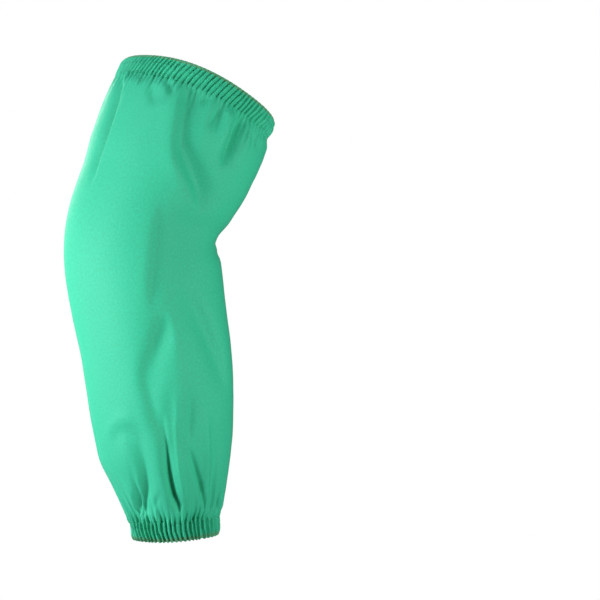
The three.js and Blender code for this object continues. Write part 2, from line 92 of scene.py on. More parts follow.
# Folds and ridges in the cloth of the front, read off the enlarged photo. Each has the width of its
# left and right side in mm, how sharp it is (2 is soft, 1 is a crease), and a run of places: the pixel
# column and the pixel row in the picture, and the height there in mm, below 0 in a valley.
FRONT_FOLDS = {
    # the upper arm
    "ridge beside the long fold": (12, 3.4, 1.6, [
        (190, 84, 1.6), (182, 97, 2.4), (178, 110, 2.8), (175, 128, 2.8), (172.5, 150, 3),
        (175, 163, 2.8), (182, 178, 2.2), (190, 196, 1), (195, 210, 0)
    ]),
    "long fold": (6, 13, 1.9, [
        (198, 82, -8), (190.5, 95, -7), (186.5, 110, -5.6), (184, 128, -5), (183, 145, -6.2),
        (188.5, 161, -8), (195, 177, -8.6), (201, 194, -7), (205, 212, 0)
    ]),
    "hollow by the left gathers": (4, 8, 1.8, [
        (151, 78, -1), (151.5, 90, -2), (154, 101, -1.6), (160, 108, 0)
    ]),
    "lip below that hollow": (6, 5, 1.8, [
        (148, 101, 0), (154, 103, 0.8), (163, 104, 0.8), (172, 103, 0)
    ]),
    "short fold left of the ridge": (2.6, 6, 1.7, [
        (170, 74, -3.6), (169, 86, -3.6), (174, 97, 0)
    ]),
    "left hem tuck": (1.8, 3, 1.5, [
        (150, 69, -2.6), (144, 76, -2.6), (137, 85, 0)
    ]),
    "second left hem tuck": (1.8, 3, 1.5, [
        (162, 70, -2.6), (153, 81, 0)
    ]),
    "notch at the hem": (2.4, 2.6, 1.5, [
        (193, 80, -7), (188, 88, -5), (184, 97, -2), (181, 106, 0)
    ]),
    "tuck right of the long fold": (2.2, 3.4, 1.6, [
        (214, 87, -3.4), (206, 97, -3.4), (199, 104, 0)
    ]),
    "wider tuck right of it": (2.6, 6, 1.7, [
        (222, 98, -4), (219, 108, -5), (214, 118, -4), (207, 127, 0)
    ]),
    "end of the wider tuck": (2, 4, 1.6, [
        (224, 110, 0), (218, 122, -1.2), (212, 132, 0)
    ]),
    "ridge beside the pocket": (7, 3, 1.6, [
        (233, 104, 2), (231, 118, 3.2), (227, 131, 3.4), (222, 143, 2.6), (216, 155, 0)
    ]),
    "pocket on the right": (3.8, 8, 1.8, [
        (244, 108, -5), (240, 122, -9), (235, 135, -9), (230, 147, -8.4), (225, 158, -5), (222, 168, 0)
    ]),
    "ridge right of the pocket": (3.5, 1.8, 1.6, [
        (248, 114, 1.4), (249, 130, 2), (248, 145, 1.4), (243, 156, 0)
    ]),
    "fold right of the pocket": (2, 3, 1.6, [
        (252, 118, -1.6), (253, 135, -1.6), (253, 150, 0)
    ]),
    "last fold on the right": (3, 4, 1.6, [
        (263, 124, -3), (259, 136, -3.4), (256, 150, 0)
    ]),
    "crease down the outer side": (7, 1.6, 1.7, [
        (124, 72, -2.4), (120, 92, -4), (113, 116, -4.6), (105, 140, -4.4), (98, 160, -3.2), (92, 185, 0)
    ]),
    # the elbow
    "edge above the elbow": (12, 2.2, 1.5, [
        (157, 203, 0), (154, 225, 2.2), (152.5, 245, 2.4), (150.5, 264, 2.2), (148.5, 282, 2.2),
        (148, 296, 1.4), (150, 306, 0)
    ]),
    "shade side of that edge": (4.5, 14, 1.6, [
        (160, 208, 0), (156.5, 226, -1.6), (155, 246, -1.8), (153, 266, -1.6), (151, 284, -1.8),
        (152.5, 296, -1.2), (160, 303, 0)
    ]),
    "top of the arch": (5, 8, 1.7, [
        (152, 310, 0), (163, 309, 0.8), (170, 315, 1.4), (173, 326, 1.6), (175, 342, 1.2), (177, 360, 0)
    ]),
    "broad hollow right of the arch": (17, 9, 1.9, [
        (182, 282, 0), (193, 301, -4), (205, 325, -6), (214, 345, -6), (222, 368, -4.4), (226, 394, 0)
    ]),
    "soft hollow of the elbow": (26, 22, 2, [
        (192, 205, 0), (189, 230, -3), (187, 262, -3.6), (188, 286, -2.4), (192, 304, 0)
    ]),
    "middle of the arch": (12, 12, 1.9, [
        (168, 316, 0), (175, 335, 2), (180, 360, 2.2), (184, 385, 1.6), (186, 408, 0)
    ]),
    "left foot of the arch": (9, 12, 1.9, [
        (173, 313, 0), (164, 329, -3.4), (156, 350, -4.4), (152, 371, -4), (153, 396, -3),
        (158, 420, -2.4), (163, 442, 0)
    ]),
    "dent at the head of the arch": (2.6, 6, 1.6, [
        (168, 318, 0), (160, 327, -1.8), (154, 337, -1.8), (153, 352, -1), (151, 366, 0)
    ]),
    "dent left of the arch": (6, 5, 1.8, [
        (152, 350, 0), (146, 364, -2), (144, 380, -2), (150, 400, -1.6), (156, 422, -1.4), (160, 440, 0)
    ]),
    # the forearm
    "hollow inside the low arch": (12, 8, 2, [
        (127, 419, 0), (134, 432, -3), (140, 448, -4), (145, 466, -4.4), (148, 485, -4.4), (147, 507, -4)
    ]),
    "head of the deep fold": (10, 8, 2, [
        (171, 384, 0), (173, 405, -2), (176, 426, -3), (178, 446, -3), (180, 468, 0)
    ]),
    "deep fold": (5.5, 3, 1.8, [
        (163, 412, 0), (163.5, 430, -2.6), (166, 448, -5), (168.5, 466, -7.2), (171, 481, -8.6),
        (174.5, 494, -9), (179.5, 506, -6)
    ]),
    "ridge beside the deep fold": (4, 6, 1.6, [
        (176, 385, 0), (176.5, 410, 1.8), (176, 432, 2.6), (177, 450, 3), (179, 468, 3.2),
        (182.5, 487, 3), (187, 508, 1)
    ]),
    "soft fold in the middle": (4, 6, 1.7, [
        (192, 388, 0), (191, 408, -2.4), (190, 430, -2.4), (190, 448, 0)
    ]),
    "slanting fold": (3.4, 2.8, 1.7, [
        (188, 446, 0), (192.5, 460, -3), (197.5, 474, -5), (202, 489, -5.6), (205, 506, -3)
    ]),
    "ridge on the right": (6, 4, 1.7, [
        (206, 405, 0), (208, 430, 2), (208, 455, 2.4), (209, 480, 2.2), (210, 502, 1)
    ]),
    "fold on the right": (9, 7, 1.9, [
        (220, 436, 0), (217, 454, -1.4), (214, 470, -2.4), (212, 487, -3.6), (211.5, 506, -3)
    ]),
    "dimple at the right gathers": (3, 3, 1.7, [
        (222, 490, 0), (219, 502, -7), (217, 513, 0)
    ]),
    "top of the low arch": (5, 5, 1.8, [
        (104, 442, 0), (112, 426, 1.3), (122, 419, 1.6), (131, 424, 1.5), (138, 438, 0)
    ]),
    "inside of the low arch": (5, 5, 1.8, [
        (112, 446, 0), (118, 435, -1.3), (126, 434, -1.3), (132, 443, 0)
    ]),
    "right leg of the low arch": (8, 4, 1.8, [
        (132, 438, 0), (139, 453, -1), (143, 468, -2), (145, 484, -3), (144, 498, -4.6), (143, 513, -3.4)
    ]),
    "fold to the left gathers": (5, 4, 2, [
        (128, 456, 0), (131.5, 470, -1), (134.5, 484, -2), (137, 498, -4), (138, 512, -4.6)
    ]),
    "dimple at the middle gathers": (3, 3, 1.7, [
        (161, 492, 0), (157, 501, -1.6), (153, 508, -0.8), (151, 514, 0)
    ]),
    "ridge on the left": (4, 4, 1.6, [
        (103, 452, 0), (113, 470, 1.2), (123, 484, 1.6), (132, 497, 1.6), (138, 511, 1)
    ]),
    "fold at the left edge": (4, 2.5, 1.5, [
        (106, 470, 0), (115, 487, -1.6), (123, 500, -2), (129, 513, -1.6)
    ]),
    "low end of the outer crease": (6, 1.6, 1.5, [
        (90, 405, 0), (94, 426, -1.2), (98, 443, -1.4), (104, 460, 0)
    ]),
    "gap at the middle gathers": (3, 3, 1.6, [
        (172, 492, 0), (171, 504, -1.2), (172, 516, -1.2)
    ]),
}

# Folds and ridges that no photo shows, written in the same way, but each place is the share of the body's
# length, the turn, and the height.
BACK_FOLDS = [
    # the back of the upper arm
    (4, 9, 1.7, [(-0.01, 0.6, -3), (0.06, 0.605, -3.4), (0.12, 0.62, -2), (0.18, 0.64, 0)]),
    (3, 5, 1.6, [(-0.01, 0.68, -2.6), (0.05, 0.675, -2.2), (0.1, 0.665, 0)]),
    (9, 4, 1.7, [(-0.01, 0.772, -3.4), (0.08, 0.76, -3.4), (0.16, 0.748, -2.4), (0.24, 0.73, 0)]),
    (5, 3, 1.6, [(-0.01, 0.862, -2.6), (0.05, 0.855, -2.2), (0.12, 0.84, 0)]),
    (3, 4, 1.6, [(-0.01, 0.935, -2.2), (0.04, 0.93, -1.8), (0.08, 0.925, 0)]),
    (9, 9, 1.4, [(0.05, 0.9, 0), (0.15, 0.91, 1.2), (0.27, 0.915, 1.2), (0.36, 0.93, 0)]),
    # the back of the elbow
    (5, 4, 1.7, [(0.3, 0.5, -1), (0.34, 0.55, -3.6), (0.37, 0.61, -2.2), (0.4, 0.67, 0)]),
    (5, 4, 1.7, [(0.36, 0.5, -0.6), (0.41, 0.55, -2.6), (0.46, 0.6, -1.4), (0.5, 0.65, 0)]),
    (16, 14, 1.1, [(0.28, 0.75, 0), (0.36, 0.757, 1.5), (0.46, 0.757, 1.6), (0.56, 0.75, 0)]),
    # the back of the forearm
    (8, 4, 1.7, [(0.66, 0.59, 0), (0.76, 0.6, -2), (0.88, 0.61, -3.6), (1.01, 0.62, -4)]),
    (4, 9, 1.7, [(0.56, 0.73, 0), (0.68, 0.715, -2), (0.8, 0.7, -2.8), (0.92, 0.7, -5), (1.01, 0.7, -4.6)]),
    (6, 6, 1.8, [(0.6, 0.66, 0), (0.74, 0.655, 1.4), (0.88, 0.657, 2), (1.0, 0.66, 1)]),
    (7, 3, 1.6, [(0.76, 0.81, 0), (0.86, 0.795, -3), (0.94, 0.785, -4.2), (1.01, 0.78, -3.6)]),
    (3, 6, 1.6, [(0.8, 0.905, 0), (0.9, 0.885, -2.8), (1.01, 0.87, -3.6)]),
    (3, 5, 1.6, [(0.86, 0.545, 0), (0.94, 0.55, -2.6), (1.01, 0.555, -3)]),
]

# Gathers at each cuff. A crest's narrowing is 1 where crests and valleys are equally wide.
ARM_GATHERS = 92
ARM_GATHER_HEIGHT = 1.45
ARM_CREST_NARROWING = 1.6
ARM_COLUMNS_PER_GATHER = 11
WRIST_GATHERS = 50
WRIST_GATHER_HEIGHT = 2
WRIST_CREST_NARROWING = 1.45
WRIST_COLUMNS_PER_GATHER = 16
GATHER_CROWDING = 0.9  # in gathers, how far one is moved towards the front or back at most
GATHER_UNEVENNESS = 0.16  # in gathers, how far one is out of its even place
CUFF_TWIST = 0.1  # in gathers, how far the two halves of a cuff are out of step

# The cuffs' casings, each one wall of cloth, elastic and cloth. The cut is its width before it is gathered.
ARM_CASING_WALL = 4.2
ARM_CASING_CUT = 580
WRIST_CASING_WALL = 4
WRIST_CASING_CUT = 420
CASING_CROWN = 0.1  # how far it bulges between its rows of stitches
CASING_CAP = 1.5  # how far down from the rim its rounding reaches
RIM_REACH = 2.6  # how far down from the rim the gathers are eased
CASING_ROWS_OUTSIDE = 22
CASING_ROWS_INSIDE = 12

# The puckers that run from a cuff into the body's cloth: the cuff, the share of its gathers, the height,
# how much of the height the front has, the reach down the cloth, and the seed of their unevenness
PUCKERS = [
    ("arm", 1, 1.4, 1, 6.5, 31),
    ("arm", 1 / 2, 1.0, 0.8, 8, 32),
    ("arm", 3 / 10, 1.0, 0.25, 22, 33),
    ("wrist", 1, 2.0, 1, 7, 34),
    ("wrist", 1 / 2, 1.7, 0.9, 14, 35),
    ("wrist", 7 / 25, 1.7, 0.35, 34, 36),
]

# The long soft waves of worn cloth: the height, the length of a wave, and how many there are
CRUMPLES = [(0.5, 95, 6), (0.22, 42, 9), (0.07, 17, 12)]
CRUMPLES_IN_FRONT = 0.35  # the share of their height that the front has

# The seam down the body, and the rows of stitches
SEAM_TURN = 0.6
SEAM_WIDTH = 8
SEAM_HEIGHT = 0.75
SEAM_STITCH_OFFSETS = (-2.4, 2.4)
SEAM_STITCH_SPACING = 3.1
SEAM_STITCH_LENGTH = 2.3
CUFF_STITCH_LENGTH = 2.4
THREAD_THICKNESS = 0.42
WRIST_MIDDLE_ROW = 12.5  # how far this row of stitches is from the rim
EDGE_ROW_INSET = 0.6  # how far the edge rows are from the ends of the body

# The cloth as it is cut, before it is sewn and gathered
CLOTH_CUT = (450, 424)
BODY_COLUMNS = 448
BODY_ROWS = 100
ROW_CROWDING = 0.62  # how much closer together its rows lie at the cuffs
TUCK_UNDER = 2.6  # how far the body's cloth runs on beneath each cuff
LOOSENING = 6  # over what distance from a cuff the body's own folds begin
STITCH_PULL = 0.2  # how far a cuff's stitches pull the body's cloth in

# The camera, with the sleeve's own middle plane at 1 mm to each of the picture's 600 pixels
PICTURE = 600
CAMERA_DISTANCE = 1150
CAMERA_ACROSS = 102
CAMERA_HEIGHT = -208.5
PIXEL_GRID = 0.5  # how far apart the points are on which a pixel is looked up
PIXEL_REACH = 8  # how far beyond the body they go
FLOOR_HEIGHT = -1000
FLOOR_SIZE = 14000

# The lights face a point across from the origin at the camera's height. Each has its name, its place in
# metres, the side of its square in metres, its watts and its colour.
LIT_ACROSS = -30
LIGHTS = [
    ("key", (-0.672, -0.276, -0.256), 0.3, 7, (0.98, 1, 1.08)),
    ("fill", (0.487, -0.472, -0.232), 0.25, 4.1, (0.98, 1, 1)),
    ("upper", (-0.52, -0.5, 0.42), 0.25, 2.6, (0.98, 1, 1.04)),
    ("back", (-0.85, 0.85, 0.3), 0.5, 11, (1, 1, 1)),
]
STUDIO_GLOW = 0.12

# The cotton, in linear colours
COTTON_GREEN = (0.021, 0.43, 0.236)
# a dull olive, painted along the cuffs' rims as shade
RIM_SHADE_OLIVE = (0.13, 0.2, 0.075, 1)
THREAD_DARK = (0.02, 0.27, 0.16, 1)
THREAD_PALE = (0.05, 0.46, 0.29, 1)
YARN_WIDTH = 0.0007  # in metres, as the UV map is
WEAVE_DEPTH = 0.00012

# The painted shade along each cuff's rim, darker where the casing rounds over away from the light: its place
# on the casing's cloth, its width and its strength
ARM_RIM_SHADE = (18.2, 0.8, 0.9)
WRIST_RIM_SHADE = (24.6, 2.2, 0.6)


def smooth_steps(value, low, high):
    """0 below low and 1 above high, with a smooth change between them."""
    share = np.clip((value - low) / (high - low), 0, 1)
    return share * share * (3 - 2 * share)


def stations():
    """The sections as columns, each against the distance down the centreline."""
    table = {"along": [], "lean": [], "tilt": [], "outer": [], "inner": [], "front": [], "back": []}
    for stretch, share, (width, depth), bend, tilt, outer, inner, front, back in SECTIONS:
        start, length = STRETCHES[stretch]
        table["along"].append(start + share * length)
        table["lean"].append(math.radians(ARM_LEAN - bend * ELBOW_BEND))
        table["tilt"].append(math.radians(tilt * ARM_TILT))
        table["outer"].append(outer * width / 2)
        table["inner"].append(inner * width / 2)
        table["front"].append(front * depth / 2)
        table["back"].append(back * depth / 2)
    return {name: np.array(column, dtype=float) for name, column in table.items()}


STATIONS = stations()


def value_at(column, along):
    """A smooth curve through one column of the stations, which never overshoots them."""
    x, y = STATIONS["along"], STATIONS[column]
    rise = np.diff(y) / np.diff(x)
    before, after = rise[:-1], rise[1:]
    same_way = before * after > 0
    middle = np.where(same_way, 2 * before * after / np.where(same_way, before + after, 1), 0)
    slope = np.concatenate([rise[:1], middle, rise[-1:]])
    i = np.clip(np.searchsorted(x, along, side="right") - 1, 0, len(x) - 2)
    span = x[i + 1] - x[i]
    u = np.clip((along - x[i]) / span, 0, 1)
    return (
        (1 + 2 * u) * (1 - u) ** 2 * y[i]
        + u * (1 - u) ** 2 * span * slope[i]
        + u**2 * (3 - 2 * u) * y[i + 1]
        + u**2 * (u - 1) * span * slope[i + 1]
    )


def run_of_centreline(steps=2000):
    """The centreline's points, which lie in the XZ plane and start at the origin."""
    step = SLEEVE_LENGTH / steps
    lean = value_at("lean", (np.arange(steps) + 0.5) * step)
    x = np.concatenate([[0], np.cumsum(-np.sin(lean) * step)])
    z = np.concatenate([[0], np.cumsum(-np.cos(lean) * step)])
    return np.arange(steps + 1) * step, x, z


CENTRELINE = run_of_centreline()


def places(along, turn, height):
    """The points in metres that stand a height off the plain oval tube."""
    along, turn, height = np.broadcast_arrays(along, turn, height)
    angle = turn * 2 * np.pi
    side, face = -np.cos(angle), -np.sin(angle)
    width = np.where(side < 0, value_at("outer", along), value_at("inner", along))
    depth = np.where(face < 0, value_at("front", along), value_at("back", along))
    ease = 1 - CORNER_EASE * np.sin(2 * angle) ** 2
    outward = np.stack([side / width, face / depth])
    outward = outward / np.linalg.norm(outward, axis=0)
    across = width * side * ease + outward[0] * height
    away = depth * face * ease + outward[1] * height
    lean, tilt = value_at("lean", along), value_at("tilt", along)
    travelled, x, z = CENTRELINE
    centre_x = np.interp(along, travelled, x)
    centre_z = np.interp(along, travelled, z)
    down = away * np.sin(tilt)
    return METRES * np.stack(
        [
            centre_x + across * np.cos(lean) - down * np.sin(lean),
            away * np.cos(tilt),
            centre_z - across * np.sin(lean) - down * np.cos(lean),
        ],
        axis=-1,
    )


def wander(turn, seed, waves, count=7):
    """A smooth irregular curve round the sleeve, about -1 to 1, which meets itself after one turn."""
    chance = np.random.default_rng(seed)
    total = np.zeros_like(turn, dtype=float)
    for _ in range(count):
        rounds = chance.integers(waves[0], waves[1] + 1)
        total += np.sin(2 * np.pi * (rounds * turn + chance.random())) * chance.uniform(0.6, 1)
    return total / math.sqrt(count)


def gather_wave(phase, narrowing=1.5):
    """Narrow crests with wider valleys between them, from -1 to 1; phase is counted in gathers."""
    return 2 * np.abs(np.sin(np.pi * phase)) ** (2 * narrowing) - 1


def crowding(turn):
    """The gathers lie closer together in front and behind than at the sleeve's two sides."""
    return GATHER_CROWDING * np.sin(4 * np.pi * (turn - 0.25))


def twist(share, turn, seed):
    """How far the two halves of a cuff, on either side of its middle stitches, are out of step."""
    return CUFF_TWIST * np.tanh((share - 0.5) * 9) * wander(turn, seed, (12, 40))


def arm_phase(along, turn):
    """Which gather of the arm cuff a place is on, counted round it; they lean a little down the cuff."""
    share = np.clip(along / ARM_CUFF_HEIGHT, 0, 1)
    lean = 1.5 + 0.5 * np.cos(2 * np.pi * (turn - 0.1))
    uneven = GATHER_UNEVENNESS * wander(turn, 11, (5, 18)) + twist(share, turn, 12)
    return ARM_GATHERS * turn + crowding(turn) + uneven + lean * share


def wrist_phase(along, turn):
    """Which gather of the wrist cuff a place is on."""
    share = np.clip((SLEEVE_LENGTH - along) / WRIST_CUFF_HEIGHT, 0, 1)
    lean = 0.45 + 0.4 * np.cos(2 * np.pi * (turn - 0.1))
    uneven = GATHER_UNEVENNESS * wander(turn, 21, (4, 14)) + twist(share, turn, 22)
    return WRIST_GATHERS * turn + crowding(turn) + uneven + lean * smooth_steps(share, -0.1, 0.7)


def stitched(distance, width=1.1):
    """How strongly a row of stitches pulls the cloth in, at a distance from it."""
    return np.exp(-((distance / width) ** 2))


def arm_cuff_height(along, turn):
    """How far the arm cuff's cloth stands off the plain tube."""
    crests = gather_wave(arm_phase(along, turn), ARM_CREST_NARROWING)
    uneven = 1 + 0.16 * wander(turn, 13, (20, 60))
    casing = np.sin(2 * np.pi * np.clip(along / ARM_CUFF_HEIGHT, 0, 1)) ** 2
    pull = 0.6 * stitched(along - ARM_CUFF_HEIGHT / 2, 0.7) + stitched(along - ARM_CUFF_HEIGHT, 1)
    flattened = 1 - 0.15 * pull
    return ARM_GATHER_HEIGHT * uneven * crests * flattened + CASING_CROWN * casing - 0.15 * pull


def wrist_cuff_height(along, turn):
    """How far the wrist cuff's cloth stands off the plain tube."""
    from_rim = SLEEVE_LENGTH - along
    crests = gather_wave(wrist_phase(along, turn), WRIST_CREST_NARROWING)
    uneven = 1 + 0.15 * wander(turn, 23, (12, 36))
    casing = np.sin(2 * np.pi * np.clip(from_rim / WRIST_CUFF_HEIGHT, 0, 1)) ** 2
    pull = 0.6 * stitched(from_rim - WRIST_MIDDLE_ROW, 0.7) + stitched(from_rim - WRIST_CUFF_HEIGHT, 1)
    flattened = 1 - 0.2 * pull
    return WRIST_GATHER_HEIGHT * uneven * crests * flattened + CASING_CROWN * casing - 0.3 * pull


def behind(turn):
    """0 in front and 1 behind, with a smooth change near the two sides."""
    return smooth_steps(-np.sin(2 * np.pi * turn), -0.25, 0.15)


def pucker_height(along, turn):
    """The gathers run on into the body's cloth and join into fewer, wider puckers that die away."""
    # each cuff's distance, the gathers' phase, and their number
    cuffs = {
        "arm": (np.maximum(along - ARM_CUFF_HEIGHT, 0), arm_phase(along, turn), ARM_GATHERS),
        "wrist": (np.maximum(WRIST_STITCHES - along, 0), wrist_phase(along, turn), WRIST_GATHERS),
    }
    height = 0
    for cuff, share, crest, in_front, reach, seed in PUCKERS:
        distance, phase, gathers = cuffs[cuff]
        crest = crest * (in_front + (1 - in_front) * behind(turn))
        rounds = round(share * gathers)
        own_phase = phase if share == 1 else rounds * turn + 0.45 * wander(turn, seed, (3, rounds // 2))
        unlike = 0.2 if share == 1 else 1
        own_reach = reach * (1 + 0.55 * wander(turn, seed + 10, (rounds // 3, rounds)))
        strength = 1 + 0.5 * unlike * wander(turn, seed + 20, (rounds // 3, rounds))
        fading = np.exp(-distance / np.maximum(own_reach, reach * 0.4))
        height = height + crest * strength * fading * gather_wave(own_phase, 1)
    return height


def front_as_seen():
    """A fine grid over the plain tube's front: the along, turn, pixel column and pixel row of its points."""
    along, turn = np.meshgrid(
        np.arange(ARM_CUFF_HEIGHT - PIXEL_REACH, WRIST_STITCHES + PIXEL_REACH, PIXEL_GRID),
        np.arange(0, 0.5, PIXEL_GRID / GIRTH),
        indexing="ij",
    )
    x, y, z = np.moveaxis(places(along, turn, 0) / METRES, -1, 0)
    nearness = CAMERA_DISTANCE / (CAMERA_DISTANCE + y)
    column = PICTURE / 2 + (x - CAMERA_ACROSS) * nearness
    row = PICTURE / 2 - (z - CAMERA_HEIGHT) * nearness
    column_down, column_round = np.gradient(column)
    row_down, row_round = np.gradient(row)
    faces_camera = column_round * row_down > column_down * row_round
    return [values[faces_camera] for values in (along, turn, column, row)]


def folds_in_front():
    """The folds of the front, each pixel turned into the place on the sleeve that is seen there."""
    along, turn, columns, rows = front_as_seen()
    folds = []
    for left, right, sharpness, run in FRONT_FOLDS.values():
        found = [np.argmin((columns - column) ** 2 + (rows - row) ** 2) for column, row, _ in run]
        shares = [(along[i] - ARM_CUFF_HEIGHT) / BODY_LENGTH for i in found]
        heights = [height for _, _, height in run]
        folds.append((left, right, sharpness, list(zip(shares, turn[found], heights))))
    return folds


FOLDS = folds_in_front() + BACK_FOLDS


def smooth_run(run, steps=7):
    """A fold's places, as a smooth line of points: millimetres along, millimetres round, and height."""
    points = np.array([(along * BODY_LENGTH, turn * GIRTH, height) for along, turn, height in run])
    padded = np.vstack([2 * points[0] - points[1], points, 2 * points[-1] - points[-2]])
    line = []
    for i in range(1, len(padded) - 2):
        a, b, c, d = padded[i - 1 : i + 3]
        slope = c - a
        bend = 2 * a - 5 * b + 4 * c - d
        swing = 3 * b - a - 3 * c + d
        for u in np.arange(steps) / steps:
            line.append(0.5 * (2 * b + slope * u + bend * u**2 + swing * u**3))
    return np.array(line + [points[-1]])


def fold_height(along, turn):
    """What the folds and ridges add up to; each point takes the nearest place on each fold's line."""
    x = along - ARM_CUFF_HEIGHT
    y = turn * GIRTH
    total = np.zeros_like(x)
    for left, right, sharpness, run in FOLDS:
        line = smooth_run(run)
        nearest = np.full_like(x, np.inf)
        signed = np.zeros_like(x)
        height = np.zeros_like(x)
        for start, end in zip(line[:-1], line[1:]):
            step = end - start
            from_x = x - start[0]
            from_y = (y - start[1] + GIRTH / 2) % GIRTH - GIRTH / 2
            share = np.clip((from_x * step[0] + from_y * step[1]) / (step[0] ** 2 + step[1] ** 2), 0, 1)
            off_x = from_x - share * step[0]
            off_y = from_y - share * step[1]
            distance = np.hypot(off_x, off_y)
            closer = distance < nearest
            nearest = np.where(closer, distance, nearest)
            signed = np.where(closer, step[0] * off_y - step[1] * off_x, signed)
            height = np.where(closer, start[2] + share * step[2], height)
        width = np.where(signed < 0, left, right)
        total += height * np.exp(-((nearest / width) ** sharpness))
    return total


def crumple_height(along, turn):
    """The slight unevenness of worn cloth, in long soft waves."""
    chance = np.random.default_rng(5)
    total = np.zeros_like(along)
    for crest, length, count in CRUMPLES:
        for _ in range(count):
            rounds = round(chance.uniform(-1, 1) * GIRTH / length)
            down = chance.uniform(0.3, 1) / length
            wave = np.sin(2 * np.pi * (rounds * turn + down * along + chance.random()))
            total += crest / math.sqrt(count) * wave
    return total * (CRUMPLES_IN_FRONT + (1 - CRUMPLES_IN_FRONT) * behind(turn))


def seam_distance(turn):
    """How far round the sleeve a place is from the middle of the seam."""
    return ((turn - SEAM_TURN + 0.5) % 1 - 0.5) * GIRTH


def seam_height(along, turn):
    """A flat-felled seam: a raised strip that its two rows of stitches pull down."""
    off = seam_distance(turn)
    strip = SEAM_HEIGHT * smooth_steps(SEAM_WIDTH / 2 - np.abs(off), 0, 1.3)
    ripple = 0.12 * np.sin(2 * np.pi * along / 7) * np.exp(-((off / 7) ** 2))
    pulled = sum(0.3 * np.exp(-(((off - row) / 0.8) ** 2)) for row in SEAM_STITCH_OFFSETS)
    return strip + ripple - pulled


def body_height(along, turn):
    """How far the body's cloth stands off the plain tube."""
    from_arm = along - ARM_CUFF_HEIGHT
    from_wrist = WRIST_STITCHES - along
    loose = 1
    pull = 0
    under = 0
    for distance in (from_arm, from_wrist):
        loose = loose * (1 - np.exp(-((np.maximum(distance, 0) / LOOSENING) ** 2)))
        pull = pull + STITCH_PULL * stitched(distance, 1.2)
        under = under + CLOTH_WALL * smooth_steps(-distance, -0.2, 1.4)
    folded = loose * (fold_height(along, turn) + crumple_height(along, turn))
    return folded + pucker_height(along, turn) + seam_height(along, turn) - pull - under


def deselect_all():
    """Nothing is selected before a primitive is added."""
    bpy.ops.object.select_all(action="DESELECT")


def cut_cloth(name, columns, rows):
    """A flat square of cloth, as a grid with a UV map, before it is shaped."""
    deselect_all()
    bpy.ops.mesh.primitive_grid_add(x_subdivisions=columns, y_subdivisions=rows, size=1)
    piece = bpy.context.object
    piece.name = name
    piece.data.name = name
    return piece


def corners_of(piece):
    """A piece's corners, one to a row."""
    corners = np.empty(len(piece.data.vertices) * 3)
    piece.data.vertices.foreach_get("co", corners)
    return corners.reshape(-1, 3)


def shape_to(piece, points):
    """The piece's corners are moved to the points given."""
    piece.data.vertices.foreach_set("co", np.ascontiguousarray(points, dtype=np.float32).ravel())
    piece.data.update()


def sew_edges(piece):
    """The edges that meet become one, and the faces are smoothed."""
    deselect_all()
    piece.select_set(True)
    bpy.context.view_layer.objects.active = piece
    bpy.ops.object.mode_set(mode="EDIT")
    bpy.ops.mesh.select_all(action="SELECT")
    bpy.ops.mesh.remove_doubles(threshold=0.00001)
    bpy.ops.object.mode_set(mode="OBJECT")
    bpy.ops.object.shade_smooth()


def size_uv_map(piece, width, length):
    """The UV map is given the cloth's own size, in metres."""
    layer = piece.data.uv_layers[0]
    uv = np.empty(len(layer.data) * 2, dtype=np.float32)
    layer.data.foreach_get("uv", uv)
    uv = uv.reshape(-1, 2) * (METRES * width, METRES * length)
    layer.data.foreach_set("uv", uv.astype(np.float32).ravel())


def make_body():
    """The body's cloth, rolled into a tube, folded, sewn and given its wall."""
    piece = cut_cloth("sleeve_body_cloth", BODY_COLUMNS, BODY_ROWS)
    flat = corners_of(piece)
    turn = flat[:, 0] + 0.5
    down = 0.5 - flat[:, 1]
    down = down - ROW_CROWDING * np.sin(2 * np.pi * down) / (2 * np.pi)
    along = ARM_CUFF_HEIGHT - TUCK_UNDER + down * (BODY_LENGTH + 2 * TUCK_UNDER)
    turn_round = turn % 1
    shape_to(piece, places(along, turn_round, body_height(along, turn_round)))
    size_uv_map(piece, *CLOTH_CUT)
    sew_edges(piece)
    wall = piece.modifiers.new("wall", "SOLIDIFY")
    wall.thickness = CLOTH_WALL * METRES
    wall.offset = -1
    wall.use_even_offset = False
    bpy.ops.object.modifier_apply(modifier=wall.name)
    return piece


def casing_profile(height, wall):
    """A cuff's section, from its stitched edge up the outside, over the rim and down the inside again.

    Each row has its distance from the rim, its depth into the wall, and how much of the gathers it takes.
    """
    rows = [(height + 0.6, -0.6, 1), (height + 0.1, -0.1, 1)]
    rows += [(from_rim, 0, 1) for from_rim in np.linspace(height - 0.8, CASING_CAP, CASING_ROWS_OUTSIDE)]
    for angle in np.radians(np.arange(15, 180, 15)):
        from_rim = CASING_CAP * (1 - math.sin(angle))
        rows.append((from_rim, -wall / 2 * (1 - math.cos(angle)), 1 - 0.4 * angle / math.pi))
    rows += [(from_rim, -wall, 0.6) for from_rim in np.linspace(CASING_CAP, height - 0.6, CASING_ROWS_INSIDE)]
    rows += [(height + 0.2, -wall + 0.3, 0.5), (height + 0.6, -wall * 0.6, 0.6)]
    return np.array(rows)


